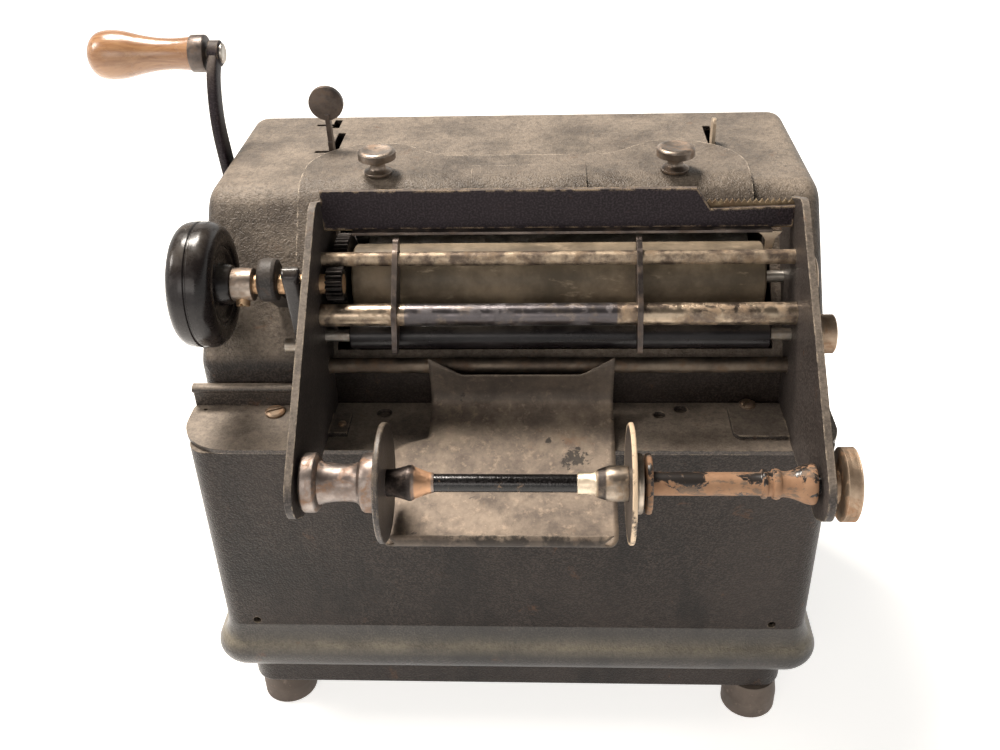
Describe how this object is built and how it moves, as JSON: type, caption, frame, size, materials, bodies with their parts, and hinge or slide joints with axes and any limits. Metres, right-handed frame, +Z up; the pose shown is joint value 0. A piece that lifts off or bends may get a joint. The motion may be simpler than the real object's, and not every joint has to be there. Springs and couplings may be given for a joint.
{
  "type": "hand-cranked paper roll printing machine",
  "caption": "Black metal cabinet on feet with a sloped front frame holding a paper roll spindle, chute and rollers, a side hand wheel and a wooden-handled crank.",
  "frame": {"origin": "bottom centre of the whole machine's bounding box, on the surface it stands on", "axes": "+Z up, +Y from the roll frame at the front to the back, +X along the rollers from the crank side to the knob side"},
  "size_m": [0.4704, 0.35, 0.4157],
  "materials": {
    "case_japan": "worn glossy black japan",
    "frame_paint": "worn black enamel",
    "ledge_paint": "dull black enamel, dusty",
    "inner_metal": "plain cast and rolled iron",
    "rod_steel": "tarnished steel with rust bloom",
    "shaft_steel": "bare steel",
    "nickel": "worn nickel plate",
    "blade_steel": "toothed steel strip, tarnished",
    "hand_shaft_brass": "rusted warm metal",
    "hard_rubber": "polished hard rubber",
    "foot_rubber": "aged brown-black rubber",
    "platen_rubber": "aged khaki rubber",
    "feed_rubber": "smooth black roller",
    "disc_paint": "black paint over steel, worn rims",
    "sleeve_paint": "chipped black paint over rust",
    "chute_tin": "stained dull tin",
    "gear_iron": "oily iron",
    "drum_metal": "ink-dulled drum",
    "grip_wood": "turned beech, worn varnish",
    "knob_steel": "knurled steel with rust"
  },
  "bodies": {
    "machine": {"casing": "case_japan", "base_rim": "case_japan", "base_pan": "case_japan", "feet": "foot_rubber", "ledge_plate": "ledge_paint", "ledge_risers": "ledge_paint", "ledge_screws": "knob_steel", "top_cover": "case_japan", "side_plate_left": "frame_paint", "side_plate_right": "frame_paint", "cross_plate": "frame_paint", "tear_blade": "blade_steel", "upper_rod": "rod_steel", "front_rod": "rod_steel", "lower_rod": "rod_steel", "plate_stud_right": "knob_steel", "paper_chute": "chute_tin", "shaft_lug": "case_japan", "inner_frame_left": "inner_metal", "inner_frame_right": "inner_metal", "tie_bars": "shaft_steel", "crank_bush": "shaft_steel", "lever_studs": "shaft_steel"},
    "crank": {"crank_shaft": "shaft_steel", "crank_arm": "frame_paint", "crank_gear": "gear_iron", "grip_pin": "shaft_steel"},
    "grip": {"crank_grip": "grip_wood", "grip_ferrule": "knob_steel"},
    "drum": {"drum_shaft": "shaft_steel", "print_drum": "drum_metal", "drum_gear": "gear_iron"},
    "inker": {"ink_roller": "feed_rubber"},
    "platen": {"platen_shaft": "shaft_steel", "platen_roller": "platen_rubber", "platen_gear": "gear_iron"},
    "hand_wheel": {"hand_shaft": "hand_shaft_brass", "hand_wheel_tyre": "hard_rubber", "hand_wheel_hub": "hard_rubber", "hand_collar": "nickel", "hand_set_screw": "hand_shaft_brass", "hand_pinion": "gear_iron"},
    "feeder": {"feed_shaft": "shaft_steel", "feed_roller": "feed_rubber", "feed_knob": "knob_steel"},
    "release": {"release_lever": "hard_rubber"},
    "guide_left": {"side_guide_left": "knob_steel"},
    "guide_right": {"side_guide_right": "knob_steel"},
    "spindle": {"spindle_shaft": "disc_paint", "roll_boss_left": "nickel", "roll_disc_left": "disc_paint", "spindle_sleeve": "sleeve_paint", "spindle_knob": "knob_steel"},
    "right_flange": {"roll_boss_right": "nickel", "roll_disc_right": "disc_paint"},
    "selector": {"selector_lever": "knob_steel"},
    "blade": {"blade_lever": "nickel"},
    "thumb_left": {"thumb_screw_left": "nickel"},
    "thumb_right": {"thumb_screw_right": "nickel"}
  },
  "joints": [
    {"name": "crank_turn", "type": "hinge", "parent": "machine", "child": "crank", "pos_m": [0.04175, 0.11003, 0.272], "axis": [1, 0, 0], "continuous": true},
    {"name": "grip_spin", "type": "hinge", "parent": "crank", "child": "grip", "pos_m": [0.04175, 0.117, 0.4], "axis": [1, 0, 0], "continuous": true},
    {"name": "drum_turn", "type": "hinge", "parent": "machine", "child": "drum", "pos_m": [0.04175, 0.03614, 0.28489], "axis": [1, 0, 0], "continuous": true},
    {"name": "ink_roller_turn", "type": "hinge", "parent": "machine", "child": "inker", "pos_m": [0.04175, 0.0625, 0.25348], "axis": [1, 0, 0], "continuous": true},
    {"name": "platen_turn", "type": "hinge", "parent": "machine", "child": "platen", "pos_m": [0.04175, -0.01225, 0.3025], "axis": [1, 0, 0], "continuous": true},
    {"name": "hand_wheel_turn", "type": "hinge", "parent": "machine", "child": "hand_wheel", "pos_m": [0.04175, -0.044, 0.316], "axis": [1, 0, 0], "continuous": true},
    {"name": "feed_roller_turn", "type": "hinge", "parent": "machine", "child": "feeder", "pos_m": [0.04175, -0.047, 0.2842], "axis": [1, 0, 0], "continuous": true},
    {"name": "release_lever_swing", "type": "hinge", "parent": "machine", "child": "release", "pos_m": [0.04175, -0.0535, 0.2815], "axis": [1, 0, 0], "range_deg": [-5, 25]},
    {"name": "guide_left_slide", "type": "slide", "parent": "machine", "child": "guide_left", "axis": [1, 0, 0], "range_m": [-0.022, 0.06]},
    {"name": "guide_right_slide", "type": "slide", "parent": "machine", "child": "guide_right", "axis": [1, 0, 0], "range_m": [-0.06, 0.068]},
    {"name": "spindle_turn", "type": "hinge", "parent": "machine", "child": "spindle", "pos_m": [0.04175, -0.144, 0.254], "axis": [1, 0, 0], "continuous": true},
    {"name": "right_flange_slide", "type": "slide", "parent": "spindle", "child": "right_flange", "axis": [1, 0, 0], "range_m": [-0.07, 0]},
    {"name": "selector_swing", "type": "hinge", "parent": "machine", "child": "selector", "pos_m": [0.04175, 0.092, 0.286], "axis": [1, 0, 0], "range_deg": [-30, 2]},
    {"name": "blade_lever_swing", "type": "hinge", "parent": "machine", "child": "blade", "pos_m": [0.04175, 0.1, 0.29], "axis": [1, 0, 0], "range_deg": [-26, 7]},
    {"name": "thumb_left_turn", "type": "hinge", "parent": "machine", "child": "thumb_left", "pos_m": [-0.04005, 0.041, 0.35], "axis": [0, 0, 1], "continuous": true},
    {"name": "thumb_right_turn", "type": "hinge", "parent": "machine", "child": "thumb_right", "pos_m": [0.13975, 0.041, 0.35], "axis": [0, 0, 1], "continuous": true}
  ],
  "couplings": [
    {"joint": "drum_turn", "follows": "crank_turn", "ratio": -1.2727},
    {"joint": "ink_roller_turn", "follows": "crank_turn", "ratio": 3.8818},
    {"joint": "hand_wheel_turn", "follows": "platen_turn", "ratio": -3.0588}
  ]
}
